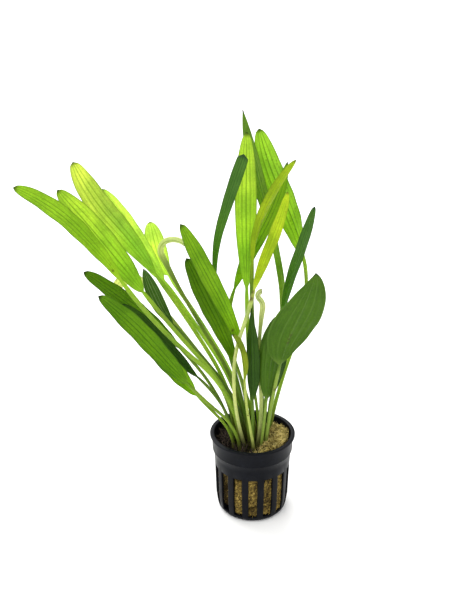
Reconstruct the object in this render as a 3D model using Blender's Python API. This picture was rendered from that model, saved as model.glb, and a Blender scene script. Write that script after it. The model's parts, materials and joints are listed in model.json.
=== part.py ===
"""A young sword plant in its slotted net pot, for Blender 4.5.

The origin is the middle of the pot's base, +X is the viewer's right and +Y points away
from the viewer. The script works in metres, +Z up. The tables give millimetres and
degrees, because a leaf is a thing of whole millimetres.
"""

import math
from typing import NamedTuple

import bmesh
import bpy
from mathutils import Matrix, Vector

MM = 0.001
FIT_GAP = 0.3 * MM  # air between pieces that touch

# The net pot
RIM_RADIUS = 27.5 * MM
POT_HEIGHT = 54 * MM
WALL_THICKNESS = 1.4 * MM
LIP_WIDTH = 1.3 * MM
COLLAR_DEPTH = 9.2 * MM
COLLAR_STEP = 0.5 * MM
SHOULDER_RADIUS = 24.8 * MM
SHOULDER_HEIGHT = 38.5 * MM
SLOT_TOP_RADIUS = 24.5 * MM
SLOT_TOP = 32.5 * MM
SLOT_BOTTOM_RADIUS = 22.9 * MM
SLOT_BOTTOM = 3.4 * MM
BASE_RADIUS = 20.6 * MM
SLOT_COUNT = 15
SLOT_SHARE = 0.57  # of the pitch from slot to slot
COLUMNS_PER_SLOT = 3  # two across the slot and one across its rib

# The rock wool, the crown and the root mat inside the pot
WOOL_CLEARANCE = 0.9 * MM
WOOL_TOP = 46 * MM
WOOL_TOP_AT_ROOTS = 38 * MM
WOOL_COLUMNS = 30
RING_PIECE_STEPS = 14
CROWN_RADIUS = 14.6 * MM
CROWN_TOP = 47 * MM
CROWN_BOTTOM = 35 * MM
CROWN_COLUMNS = 20
ROOT_MAT_ARC = (math.radians(125), math.radians(262))
ROOT_MAT_TOP = 48 * MM
WOOL_CHUNK_ARC = (math.radians(-96), math.radians(62))
WOOL_CHUNK_TOP = 55 * MM

# The leaves
FOOT_CLEARANCE = 0.6 * MM  # above the crown, so that a leaning stalk's end clears it
STALK_RADIUS = 1.35 * MM
BLADE_EDGE = 0.4 * MM
MIDRIB_DEPTH = 0.9 * MM
STALK_STATIONS = 7
BLADE_STATIONS = 10


class Outline(NamedTuple):
    """A blade's outline: where it is widest, how sharply it tapers and how far its sides fold up."""

    widest: float
    taper: float
    fold: float


class Leaf(NamedTuple):
    """One leaf with its stalk, in millimetres and degrees.

    lean is the angle from upright at evenly spaced places: the foot, half up the stalk, the
    collar, half up the blade and the tip, or nine places for a leaf that bends more often.
    heading is the compass way it leans at the foot, collar and tip (0 is +X, 90 is +Y). roll
    turns the blade about its midrib, at the collar and the tip.
    """

    name: str
    foot: tuple
    stalk: float
    blade: float
    width: float
    lean: tuple
    heading: tuple
    roll: tuple
    outline: Outline
    colour: tuple


OVAL = Outline(0.55, 1.2, 16)
FULL = Outline(0.52, 1.05, 14)
ROUNDED = Outline(0.6, 1.15, 14)
BROAD = Outline(0.46, 1.25, 6)
LANCE = Outline(0.52, 1.4, 20)
NARROW = Outline(0.4, 1.7, 20)
DRIP = Outline(0.62, 2.4, 24)
SPOON = Outline(0.86, 0.8, 24)
FLAT = Outline(0.55, 1.2, 8)
STRAP = Outline(0.55, 1.1, 30)
BARE = Outline(0.5, 1.0, 0)

LIME = (0.40, 0.55, 0.08)
BRIGHT = (0.19, 0.42, 0.06)
GREEN = (0.08, 0.22, 0.04)
DARK = (0.03, 0.08, 0.02)
PALE_STALK = (0.50, 0.58, 0.20)

LEAVES = (
    Leaf(
        "leaf_left_1", (-8, -5), 137, 79, 11, (2, 45, 31, 40, 64), (191, 191, 190),
        (-50, -50), ROUNDED, LIME,
    ),
    Leaf("leaf_left_2", (-8, 1), 120, 77, 14, (5, 39, 35, 36, 39), (182, 182, 180), (-55, -55), FULL, LIME),
    Leaf(
        "leaf_left_3", (-8, 5), 122, 84, 14, (7, 31, 36, 43, 24), (169, 168, 165),
        (-55, -50), ROUNDED, LIME,
    ),
    Leaf(
        "leaf_left_4", (-5, 7), 117, 67, 13, (5, 33, 39, 33, 36), (165, 165, 165),
        (-50, -50), FULL, BRIGHT,
    ),
    Leaf(
        "leaf_left_5", (-2, 9), 119, 33, 9, (8, 34, 41, 14, 13), (160, 158, 155),
        (-45, -45), LANCE, GREEN,
    ),
    Leaf(
        "leaf_left_6", (-11, 4), 124, 18, 8, (4, 37, 36, 110, 150), (171, 171, 176),
        (-40, -40), STRAP, LIME,
    ),
    Leaf(
        "stalk_arching", (-1, 5), 133, 24, 4, (7, 32, 26, -71, -130), (168, 168, 172),
        (0, 0), STRAP, PALE_STALK,
    ),
    Leaf(
        "leaf_dark_1", (-12, 1), 73, 76, 11, (10, 28, 42, 49, 53), (180, 180, 180),
        (-40, -40), ROUNDED, DARK,
    ),
    Leaf(
        "leaf_low_1", (-8, -10), 63, 79, 13, (8, 43, 37, 36, 44), (200, 200, 200),
        (-55, -55), FULL, GREEN,
    ),
    Leaf(
        "leaf_dark_2", (-12, -3), 54, 67, 10, (2, 27, 44, 39, 45), (185, 185, 185),
        (-45, -45), ROUNDED, DARK,
    ),
    Leaf(
        "leaf_low_2", (-12, -7), 47, 51, 12, (8, 38, 38, 37, 47), (197, 197, 197),
        (-50, -50), LANCE, GREEN,
    ),
    Leaf(
        "leaf_folded_left", (-4, 3), 93, 40, 9, (7, 36, 40, 22, 16), (178, 178, 181),
        (-70, -70), LANCE, DARK,
    ),
    Leaf(
        "leaf_middle_1", (5, -3), 69, 89, 11, (3, 9, 20, 26, 25), (195, 195, 200),
        (-75, -70), ROUNDED, BRIGHT,
    ),
    Leaf(
        "leaf_middle_2", (-2, -4), 57, 76, 12, (2, 7, 19, 25, 21), (185, 185, 190),
        (-65, -65), ROUNDED, GREEN,
    ),
    Leaf(
        "leaf_middle_3", (-2, 0), 104, 87, 7, (7, 16, 8, -18, -24), (170, 165, 140),
        (-60, -50), SPOON, DARK,
    ),
    Leaf("leaf_top_1", (5, 4), 109, 103, 8, (14, 15, -9, -17, -11), (60, 0, -10), (-80, -70), DRIP, GREEN),
    Leaf("leaf_top_2", (1, 1), 102, 94, 13, (-4, -6, -2, -1, 2), (320, 300, 300), (-25, -25), FLAT, BRIGHT),
    Leaf(
        "leaf_top_3", (10, 5), 124, 85, 16, (25, 28, -16, -26, -14), (60, 25, -10),
        (-80, -80), FULL, GREEN,
    ),
    Leaf("leaf_top_4", (8, 0), 123, 65, 6, (-3, -10, 3, 25, 38), (30, 30, 0), (-80, -80), STRAP, LIME),
    Leaf(
        "leaf_top_5", (3, 11), 101, 86, 10, (14, 20, -18, -27, -13), (160, 172, 180),
        (-80, -80), LANCE, DARK,
    ),
    Leaf(
        "leaf_top_6", (-5, -7), 110, 61, 7, (19, 9, -1, -18, -12, -18, -20, -17, -16),
        (225, 170, 185), (-75, -75), STRAP, LIME,
    ),
    Leaf("stalk_cut", (3, -7), 95, 13, 3, (8, -5, 7, -45, 82), (0, 0, 0), (0, 0), BARE, PALE_STALK),
    Leaf("leaf_front_1", (0, -8), 34, 64, 9, (2, 2, 4, 6, 4), (255, 255, 255), (-10, -10), NARROW, DARK),
    Leaf("leaf_front_2", (1, -12), 50, 34, 5, (10, 9, 2, 10, 34), (200, 200, 200), (-40, -40), LANCE, LIME),
    Leaf(
        "leaf_right_1", (8, -8), 63, 68, 25, (6, 10, 14, 27, 15), (315, 315, 315),
        (-45, -45), BROAD, DARK,
    ),
    Leaf("leaf_right_2", (5, -10), 36, 58, 15, (6, 6, 4, 6, 12), (335, 335, 335), (-65, -65), OVAL, DARK),
    Leaf("leaf_right_3", (9, -4), 36, 50, 14, (4, 4, 6, 8, 8), (320, 320, 320), (-50, -50), OVAL, DARK),
    Leaf("leaf_right_4", (10, 2), 84, 71, 7, (4, 5, 8, 21, 16), (20, 22, 25), (-100, -100), ROUNDED, DARK),
)


def clear_scene():
    """Removes whatever objects the file opened with."""
    for item in list(bpy.data.objects):
        bpy.data.objects.remove(item, do_unlink=True)


def make_material(name, colour, roughness):
    material = bpy.data.materials.new(name)
    material.use_nodes = True
    shader = material.node_tree.nodes["Principled BSDF"]
    shader.inputs["Base Color"].default_value = (*colour, 1.0)
    shader.inputs["Roughness"].default_value = roughness
    material.diffuse_color = (*colour, 1.0)
    return material


def add_object(name, shape, material, sharp_angle, parent=None, location=(0, 0, 0)):
    """Turns a bmesh into a named, smooth-shaded object, placed under its parent."""
    mesh = bpy.data.meshes.new(name)
    shape.to_mesh(mesh)
    shape.free()
    mesh.shade_smooth()
    mesh.set_sharp_from_angle(angle=math.radians(sharp_angle))
    mesh.materials.append(material)
    made = bpy.data.objects.new(name, mesh)
    made.parent = parent
    made.location = location
    bpy.context.scene.collection.objects.link(made)
    return made


def join_rings(shape, rings):
    """Skins a closed body with outward faces over rings of vertices, with a cap at each end."""
    for lower, upper in zip(rings, rings[1:]):
        for i in range(len(lower)):
            j = (i + 1) % len(lower)
            shape.faces.new((lower[i], lower[j], upper[j], upper[i]))
    shape.faces.new(tuple(reversed(rings[0])))
    shape.faces.new(tuple(rings[-1]))
    bmesh.ops.recalc_face_normals(shape, faces=shape.faces[:])


def turned_ring(shape, count, place):
    """A ring of vertices about the Z axis, each at the (radius, height) that place gives for its angle."""
    ring = []
    for i in range(count):
        angle = math.tau * i / count
        radius, height = place(angle)
        ring.append(shape.verts.new((radius * math.cos(angle), radius * math.sin(angle), height)))
    return ring


def wall_profile():
    """The pot's outer side as (radius, height), from under the lip down to the flat base."""
    collar_radius = RIM_RADIUS - LIP_WIDTH
    under_lip = POT_HEIGHT - WALL_THICKNESS
    step_height = under_lip - COLLAR_DEPTH
    return (
        (RIM_RADIUS, under_lip),
        (collar_radius, under_lip),
        (collar_radius - 0.2 * MM, step_height),
        (collar_radius - 0.2 * MM - COLLAR_STEP, step_height - COLLAR_STEP),
        (SHOULDER_RADIUS, SHOULDER_HEIGHT),
        (SLOT_TOP_RADIUS, SLOT_TOP),
        (SLOT_BOTTOM_RADIUS + 0.9 * MM, SLOT_BOTTOM + 6.6 * MM),
        (SLOT_BOTTOM_RADIUS, SLOT_BOTTOM),
        (BASE_RADIUS + 1.1 * MM, 0.8 * MM),
        (BASE_RADIUS, 0.0),
    )


def pot_columns():
    """The angles of the pot's vertical mesh lines: each pitch is a slot in two steps and a rib in one."""
    pitch = math.tau / SLOT_COUNT
    half_slot = pitch * SLOT_SHARE / 2
    angles = []
    for i in range(SLOT_COUNT):
        middle = i * pitch - math.pi / 2
        angles += [middle - half_slot, middle, middle + half_slot]
    return angles


def build_net_pot():
    """The wall as one outward surface with its slots left out, thickened inwards by a modifier."""
    shape = bmesh.new()
    profile = wall_profile()
    angles = pot_columns()
    rings = []
    for radius, height in profile:
        ring = [shape.verts.new((radius * math.cos(a), radius * math.sin(a), height)) for a in angles]
        rings.append(ring)
    for row, (upper, lower) in enumerate(zip(rings, rings[1:])):
        slotted = profile[row][1] <= SLOT_TOP and profile[row + 1][1] >= SLOT_BOTTOM
        for i in range(len(angles)):
            if slotted and i % COLUMNS_PER_SLOT != COLUMNS_PER_SLOT - 1:
                continue
            j = (i + 1) % len(angles)
            shape.faces.new((upper[i], lower[i], lower[j], upper[j]))
    shape.faces.new(tuple(reversed(rings[-1])))
    material = make_material("black_plastic", (0.018, 0.020, 0.023), 0.42)
    pot = add_object("net_pot", shape, material, 35)
    wall = pot.modifiers.new("wall", "SOLIDIFY")
    wall.thickness = WALL_THICKNESS
    wall.offset = -1.0
    wall.use_even_offset = True
    return pot


def ripple(angle, height, seed):
    """A repeatable unevenness between -1 and 1, for torn wool and root fibre."""
    a = math.sin(5 * angle + 1.7 * seed + 210 * height)
    b = math.sin(9 * angle - 2.3 * seed + 480 * height)
    c = math.sin(14 * angle + 0.9 * seed - 350 * height)
    return 0.5 * a + 0.3 * b + 0.2 * c


def inner_radius(height):
    """The pot's inner radius at a height, read from its profile."""
    profile = wall_profile()
    for (r_up, z_up), (r_low, z_low) in zip(profile, profile[1:]):
        if z_low <= height <= z_up and z_up > z_low:
            share = (height - z_low) / (z_up - z_low)
            return r_low + share * (r_up - r_low) - WALL_THICKNESS
    return BASE_RADIUS


def wool_top(angle):
    """The height of the wool's top: lower on the left, where roots fill the pot."""
    turn = angle % math.tau
    middle = sum(ROOT_MAT_ARC) / 2
    reach = (ROOT_MAT_ARC[1] - ROOT_MAT_ARC[0]) / 2 + math.radians(16)
    away = abs((turn - middle + math.pi) % math.tau - math.pi)
    return WOOL_TOP_AT_ROOTS if away < reach else WOOL_TOP


def wool_reach(height):
    """How far out the wool may reach at a height, just clear of the pot's wall."""
    return inner_radius(height) - WOOL_CLEARANCE


def build_rock_wool(pot):
    """A torn plug that fills the pot, with a round pocket for the crown."""
    shape = bmesh.new()
    bottom = WALL_THICKNESS + FIT_GAP
    pocket = CROWN_RADIUS + FIT_GAP
    tear = 0.7 * MM
    rings = [turned_ring(shape, WOOL_COLUMNS, lambda angle: (18 * MM, bottom))]
    for height_mm in (4.7, 9, 15, 21, 27, 33):
        height = height_mm * MM

        def on_wall(angle, height=height):
            return wool_reach(height) - tear * (1 + ripple(angle, height, 1)), height

        rings.append(turned_ring(shape, WOOL_COLUMNS, on_wall))
    crest = (
        lambda angle: (
            wool_reach(wool_top(angle) - 2 * MM) - tear * (1 + ripple(angle, WOOL_TOP, 2)),
            wool_top(angle) - 2 * MM,
        ),
        lambda angle: (
            wool_reach(wool_top(angle)) - 2.4 * MM,
            wool_top(angle) + 0.4 * MM * ripple(angle, 0, 3),
        ),
        lambda angle: (pocket + 0.8 * MM, wool_top(angle) - 0.4 * MM * (1 + ripple(angle, 0, 4))),
        lambda angle: (pocket, wool_top(angle) - 2 * MM),
        lambda angle: (pocket, CROWN_BOTTOM - FIT_GAP),
    )
    rings += [turned_ring(shape, WOOL_COLUMNS, place) for place in crest]
    join_rings(shape, rings)
    material = make_material("rock_wool", (0.36, 0.27, 0.07), 0.95)
    return add_object("rock_wool", shape, material, 60, pot)


def build_ring_piece(name, arc, bottom, top, seed, material, pot):
    """A lumpy piece that fills part of the ring between the crown and the pot's wall."""
    shape = bmesh.new()
    inner = CROWN_RADIUS + 2 * FIT_GAP
    outer = inner_radius(WOOL_TOP) - 1.3 * MM
    rings = []
    for i in range(RING_PIECE_STEPS + 1):
        share = i / RING_PIECE_STEPS
        angle = arc[0] + (arc[1] - arc[0]) * share
        lump = ripple(angle, 0.02, seed)
        crest = bottom + (top - bottom) * (0.45 + 0.55 * math.sin(math.pi * share) ** 0.5)
        corners = (
            (inner, bottom),
            (outer - 0.5 * MM * (1 + lump), bottom),
            (outer, (bottom + crest) / 2),
            (outer - 0.8 * MM, crest - 1.2 * MM * (1 - lump)),
            ((inner + outer) / 2, crest + 0.6 * MM * lump),
            (inner + 0.4 * MM, crest - 0.9 * MM * (1 + lump)),
        )
        rings.append([shape.verts.new((r * math.cos(angle), r * math.sin(angle), z)) for r, z in corners])
    join_rings(shape, rings)
    return add_object(name, shape, material, 50, pot)


def build_ring_pieces(pot):
    """The torn wool that stands above the rim on the right, and the dark roots beside the crown on the left."""
    torn = make_material("rock_wool_torn", (0.40, 0.31, 0.09), 0.95)
    wool_bottom = WOOL_TOP + 3 * FIT_GAP
    build_ring_piece("rock_wool_chunk", WOOL_CHUNK_ARC, wool_bottom, WOOL_CHUNK_TOP, 5, torn, pot)
    fibre = make_material("root_fibre", (0.035, 0.024, 0.014), 0.9)
    root_bottom = WOOL_TOP_AT_ROOTS + 3 * FIT_GAP
    build_ring_piece("root_mat", ROOT_MAT_ARC, root_bottom, ROOT_MAT_TOP, 7, fibre, pot)


def build_crown(pot):
    """The short rootstock that the leaf stalks grow from, with its origin in the middle of its top."""
    shape = bmesh.new()
    depth = CROWN_TOP - CROWN_BOTTOM
    levels = (
        (9.5 * MM, -depth),
        (13.2 * MM, -depth + 2.5 * MM),
        (CROWN_RADIUS - 0.3 * MM, -depth / 2),
        (CROWN_RADIUS - 0.5 * MM, -2 * MM),
        (CROWN_RADIUS - 1.4 * MM, 0.0),
    )
    rings = []
    for radius, height in levels:

        def on_level(angle, radius=radius, height=height):
            return radius + 0.25 * MM * ripple(angle, height, 6), height

        rings.append(turned_ring(shape, CROWN_COLUMNS, on_level))
    join_rings(shape, rings)
    material = make_material("crown", (0.16, 0.13, 0.06), 0.8)
    return add_object("crown", shape, material, 50, pot, (0, 0, CROWN_TOP))


def between(values, share):
    """Straight interpolation along evenly spaced values, share running from 0 to 1."""
    place = min(max(share, 0.0), 1.0) * (len(values) - 1)
    low = min(int(place), len(values) - 2)
    return values[low] + (values[low + 1] - values[low]) * (place - low)


def leaf_share(leaf, distance):
    """How far up the leaf a distance is: the stalk is the first half and the blade the second."""
    if distance <= leaf.stalk:
        return 0.5 * distance / leaf.stalk
    return 0.5 + 0.5 * (distance - leaf.stalk) / leaf.blade


def leaf_direction(leaf, distance):
    """The way the leaf grows there, with its sideways and upper-side directions before any roll."""
    share = leaf_share(leaf, distance)
    lean = math.radians(between(leaf.lean, share))
    heading = math.radians(between(leaf.heading, share))
    out = Vector((math.cos(heading), math.sin(heading), 0))
    up = Vector((0, 0, 1))
    along = math.sin(lean) * out + math.cos(lean) * up
    side = up.cross(out)
    return along, side, along.cross(side)


def leaf_stations(leaf):
    """Distances up the leaf, in millimetres, at which its cross-sections stand."""
    stalk = [leaf.stalk * i / STALK_STATIONS for i in range(STALK_STATIONS)]
    blade = [leaf.stalk + leaf.blade * i / BLADE_STATIONS for i in range(BLADE_STATIONS)]
    return stalk + blade + [leaf.stalk + leaf.blade * 0.97, leaf.stalk + leaf.blade]


def centre_line(leaf, distances):
    """Points along the midrib, added up from the foot in straight steps of a millimetre."""
    step = 1.0
    point = Vector((0, 0, 0))
    points = []
    walked = 0.0
    for distance in distances:
        while walked < distance - 1e-6:
            reach = min(step, distance - walked)
            along = leaf_direction(leaf, walked + reach / 2)[0]
            point = point + along * reach * MM
            walked += reach
        points.append(point.copy())
    return points


def half_width(leaf, distance):
    """Half the blade's width at a distance up the leaf, and never less than the stalk's."""
    share = (distance - leaf.stalk) / leaf.blade
    if share <= 0:
        return STALK_RADIUS * 0.87
    shape = leaf.outline
    rise = shape.taper * shape.widest
    fall = shape.taper * (1 - shape.widest)
    top = shape.widest**rise * (1 - shape.widest) ** fall
    width = (min(share, 1.0) ** rise) * ((1 - min(share, 1.0)) ** fall) / top
    root = STALK_RADIUS * 0.87 * (1 - share)
    return max(root, 0.5 * leaf.width * MM * width, 0.3 * MM)


def leaf_section(leaf, distance):
    """The cross-section as (sideways, upwards) pairs: midrib top, right edge, midrib keel, left edge."""
    share = max((distance - leaf.stalk) / leaf.blade, 0.0)
    half = half_width(leaf, distance)
    thin = min(share / 0.15, 1.0)
    edge = STALK_RADIUS * 0.5 * (1 - thin) + BLADE_EDGE * 0.5 * thin
    rib = STALK_RADIUS * (1 - share) ** 1.5 * (1 - thin) + 0.5 * MIDRIB_DEPTH * thin
    rise = half * math.tan(math.radians(leaf.outline.fold)) * thin
    return (
        (0, rib),
        (half, rise + edge),
        (half, rise - edge),
        (0, -rib),
        (-half, rise - edge),
        (-half, rise + edge),
    )


def build_leaf(leaf, material, crown):
    """One closed body, a six-sided stalk that opens into a folded blade, with its origin at its foot."""
    shape = bmesh.new()
    distances = leaf_stations(leaf)
    rings = []
    for distance, point in zip(distances, centre_line(leaf, distances)):
        along, side, upper = leaf_direction(leaf, distance)
        if distance == 0:
            along = Vector((0, 0, 1))
            upper = along.cross(side)
        blade_share = (distance - leaf.stalk) / leaf.blade
        roll = between(leaf.roll, blade_share) * min(max(distance / leaf.stalk, 0), 1)
        turn = Matrix.Rotation(math.radians(roll), 3, along)
        side = turn @ side
        upper = turn @ upper
        ring = [shape.verts.new(point + side * s + upper * u) for s, u in leaf_section(leaf, distance)]
        rings.append(ring)
    join_rings(shape, rings)
    foot = (leaf.foot[0] * MM, leaf.foot[1] * MM, FOOT_CLEARANCE)
    return add_object(leaf.name, shape, material, 50, crown, foot)


def build_leaves(crown):
    """Every leaf on the crown, with one material for each shade of green."""
    materials = {}
    for leaf in LEAVES:
        if leaf.colour not in materials:
            materials[leaf.colour] = make_material(f"leaf_green_{len(materials) + 1}", leaf.colour, 0.45)
        build_leaf(leaf, materials[leaf.colour], crown)


def main():
    clear_scene()
    pot = build_net_pot()
    build_rock_wool(pot)
    build_ring_pieces(pot)
    crown = build_crown(pot)
    build_leaves(crown)


main()
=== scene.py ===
"""A young sword plant in its net pot, as an add-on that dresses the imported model.

Every length in the tables is in millimetres and every angle in degrees. The world is in metres,
+Z up, with the origin in the middle of the pot's base and the viewer on the -Y side.
"""

import json
import math
from typing import NamedTuple

import bmesh
import bpy
import numpy as np
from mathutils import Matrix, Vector


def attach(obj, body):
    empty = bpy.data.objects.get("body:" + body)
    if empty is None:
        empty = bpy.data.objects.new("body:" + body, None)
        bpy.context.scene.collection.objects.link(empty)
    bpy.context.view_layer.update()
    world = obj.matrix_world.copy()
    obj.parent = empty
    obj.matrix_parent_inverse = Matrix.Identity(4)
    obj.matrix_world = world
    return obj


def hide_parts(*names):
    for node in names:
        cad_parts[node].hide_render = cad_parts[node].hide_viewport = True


bl_info = {
    "name": "Potted sword plant",
    "version": (1, 0, 0),
    "blender": (4, 5, 0),
    "location": "3D View > Sidebar > Sword plant",
    "description": "Leaves, net pot, rock wool and roots of an aquarium sword plant",
    "category": "Object",
}

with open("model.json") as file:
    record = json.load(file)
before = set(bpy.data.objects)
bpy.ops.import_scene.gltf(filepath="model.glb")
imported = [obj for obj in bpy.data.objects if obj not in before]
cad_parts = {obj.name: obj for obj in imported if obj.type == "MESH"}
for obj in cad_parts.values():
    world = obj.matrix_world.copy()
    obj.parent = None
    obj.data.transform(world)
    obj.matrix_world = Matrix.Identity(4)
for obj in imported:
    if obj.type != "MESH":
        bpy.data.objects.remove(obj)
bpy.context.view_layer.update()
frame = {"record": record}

MM = 0.001
BODY = "root"


class Outline(NamedTuple):
    """A blade's outline: where it is widest, how sharply it tapers, how far its sides fold up."""

    widest: float
    taper: float
    fold: float


OVAL = Outline(0.55, 1.2, 16)
FULL = Outline(0.52, 1.05, 14)
ROUNDED = Outline(0.6, 1.15, 14)
BROAD = Outline(0.46, 1.6, 6)
LANCE = Outline(0.52, 1.4, 20)
NARROW = Outline(0.4, 1.7, 20)
DRIP = Outline(0.62, 2.4, 24)
SPOON = Outline(0.86, 0.8, 24)
FLAT = Outline(0.55, 1.2, 8)
STRAP = Outline(0.55, 1.1, 30)
BARE = Outline(0.5, 1.0, 0)


class Leaf(NamedTuple):
    """One leaf with its stalk, grown from its foot on the crown.

    lean is the angle from upright at evenly spaced places: the foot, half up the stalk, the
    collar, half up the blade and the tip, or nine places for a leaf that bends more often.
    heading is the compass way it leans at the foot, collar and tip. roll turns the blade about
    its midrib at the collar and the tip. wave is how far its edge ripples, skew moves the widest
    place of its two sides apart, and wing is the least half width of a blade that runs on down
    its stalk.
    """

    node: str
    foot: tuple
    stalk: float
    blade: float
    width: float
    lean: tuple
    heading: tuple
    roll: tuple
    outline: Outline
    look: str
    wave: float = 0.4
    skew: float = 0.0
    wing: float = 0.0


LEAF_ROWS = (
    ("leaf_left_1", (-8, -5), 137, 79, 11, (2, 45, 31, 40, 64), (191, 191, 190), (-50, -50), ROUNDED, "lime"),
    ("leaf_left_2", (-8, 1), 120, 77, 15.5, (5, 39, 35, 36, 39), (182, 182, 180), (-55, -55), FULL, "vivid"),
    ("leaf_left_3", (-8, 5), 122, 84, 15, (7, 31, 36, 43, 24), (169, 168, 165), (-55, -50), ROUNDED, "glow"),
    ("leaf_left_4", (-5, 7), 117, 68, 13, (5, 33, 38, 33, 34), (165, 165, 165), (-50, -50), FULL, "light"),
    ("leaf_left_5", (-2, 9), 119, 36, 13, (8, 33, 39, 14, 11), (160, 158, 155), (-50, -50), FULL, "light"),
    ("leaf_left_6", (-11, 4), 118, 27, 9, (4, 37, 38, 118, 175), (171, 171, 176), (-40, -40), STRAP, "pale"),
    (
        "stalk_arching", (-3, 5), 133, 24, 4.4, (7, 32, 26, -71, -130), (168, 168, 172), (0, 0),
        STRAP, "arch", 0,
    ),
    ("leaf_dark_1", (-12, 1), 73, 76, 11, (10, 28, 42, 49, 53), (180, 180, 180), (-40, -40), ROUNDED, "mid"),
    ("leaf_low_1", (-8, -10), 63, 79, 13, (8, 43, 37, 36, 44), (200, 200, 200), (-55, -55), FULL, "leafy"),
    ("leaf_dark_2", (-12, -3), 54, 67, 10, (2, 27, 44, 39, 45), (185, 185, 185), (-45, -45), ROUNDED, "deep_green_and_shade"),
    ("leaf_low_2", (-12, -7), 47, 51, 12, (8, 38, 38, 37, 47), (197, 197, 197), (-50, -50), LANCE, "fresh"),
    (
        "leaf_folded_left", (-4, 3), 93, 40, 9, (7, 36, 40, 22, 16), (178, 178, 181), (-70, -70),
        LANCE, "folded",
    ),
    ("leaf_middle_1", (5, -3), 69, 89, 11, (3, 9, 20, 26, 25), (195, 195, 200), (-75, -70), ROUNDED, "fresh"),
    ("leaf_middle_2", (-2, -4), 57, 76, 12, (2, 7, 19, 25, 21), (185, 185, 190), (-65, -65), ROUNDED, "mid"),
    ("leaf_middle_3", (-2, 0), 104, 87, 7, (7, 16, 8, -18, -24), (170, 165, 140), (-60, -50), SPOON, "dull"),
    (
        "leaf_top_1", (5, 4), 109, 103, 8, (14, 15, -9, -17, -11), (60, 0, -10), (-80, -70),
        DRIP, "soft", 0.4, 0.0, 2.1,
    ),
    ("leaf_top_2", (1, 1), 102, 94, 13, (-4, -6, -2, -1, 2), (320, 300, 300), (-25, -25), FLAT, "vivid"),
    ("leaf_top_3", (10, 5), 124, 85, 16, (25, 28, -16, -26, -14), (60, 25, -10), (-80, -80), FULL, "bright"),
    ("leaf_top_4", (8, 0), 123, 65, 6, (-3, -10, 3, 25, 38), (30, 30, 0), (-80, -80), STRAP, "gold"),
    (
        "leaf_top_5", (3, 11), 101, 86, 10, (14, 20, -18, -27, -13), (160, 172, 180), (-80, -80),
        LANCE, "fresh",
    ),
    (
        "leaf_top_6", (-5, -7), 110, 61, 7, (19, 9, -1, -18, -12, -18, -20, -17, -16),
        (225, 170, 185), (-75, -75), STRAP, "yellow",
    ),
    ("stalk_cut", (3, -7), 95, 13, 3.8, (8, -5, 7, -45, 82), (0, 0, 0), (0, 0), BARE, "bare", 0),
    ("leaf_front_1", (0, -8), 34, 64, 9, (2, 2, 4, 6, 4), (255, 255, 255), (-10, -10), NARROW, "deep_green_and_shade"),
    ("leaf_front_2", (1, -12), 50, 34, 8, (10, 9, 2, 10, 34), (200, 200, 200), (-40, -40), LANCE, "spotted"),
    (
        "leaf_right_1", (8, -8), 63, 68, 25, (6, 10, 14, 27, 15), (315, 315, 315), (-45, -45),
        BROAD, "under", 0.3, 0.1,
    ),
    ("leaf_right_2", (5, -10), 36, 58, 15, (6, 6, 4, 6, 12), (335, 335, 335), (-65, -65), LANCE, "under"),
    ("leaf_right_3", (9, -4), 36, 50, 14, (4, 4, 6, 8, 8), (320, 320, 320), (-50, -50), OVAL, "deep_green_and_shade"),
    ("leaf_right_4", (10, 2), 84, 71, 7, (4, 5, 8, 21, 16), (20, 22, 25), (-100, -100), ROUNDED, "dull"),
)
LEAVES = [Leaf(*row) for row in LEAF_ROWS]


class LeafLook(NamedTuple):
    """Colours up a fresh leaf, as sRGB hex values, and how much light it lets through.

    blade and crest are the lower and the upper half of the blade by reflected light, through
    and glow the same two by light from behind.
    """

    stalk: str
    blade: str
    crest: str
    tip: str
    vein: str
    through: str
    glow: str
    translucence: float
    veins_show: float
    spots: float


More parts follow.
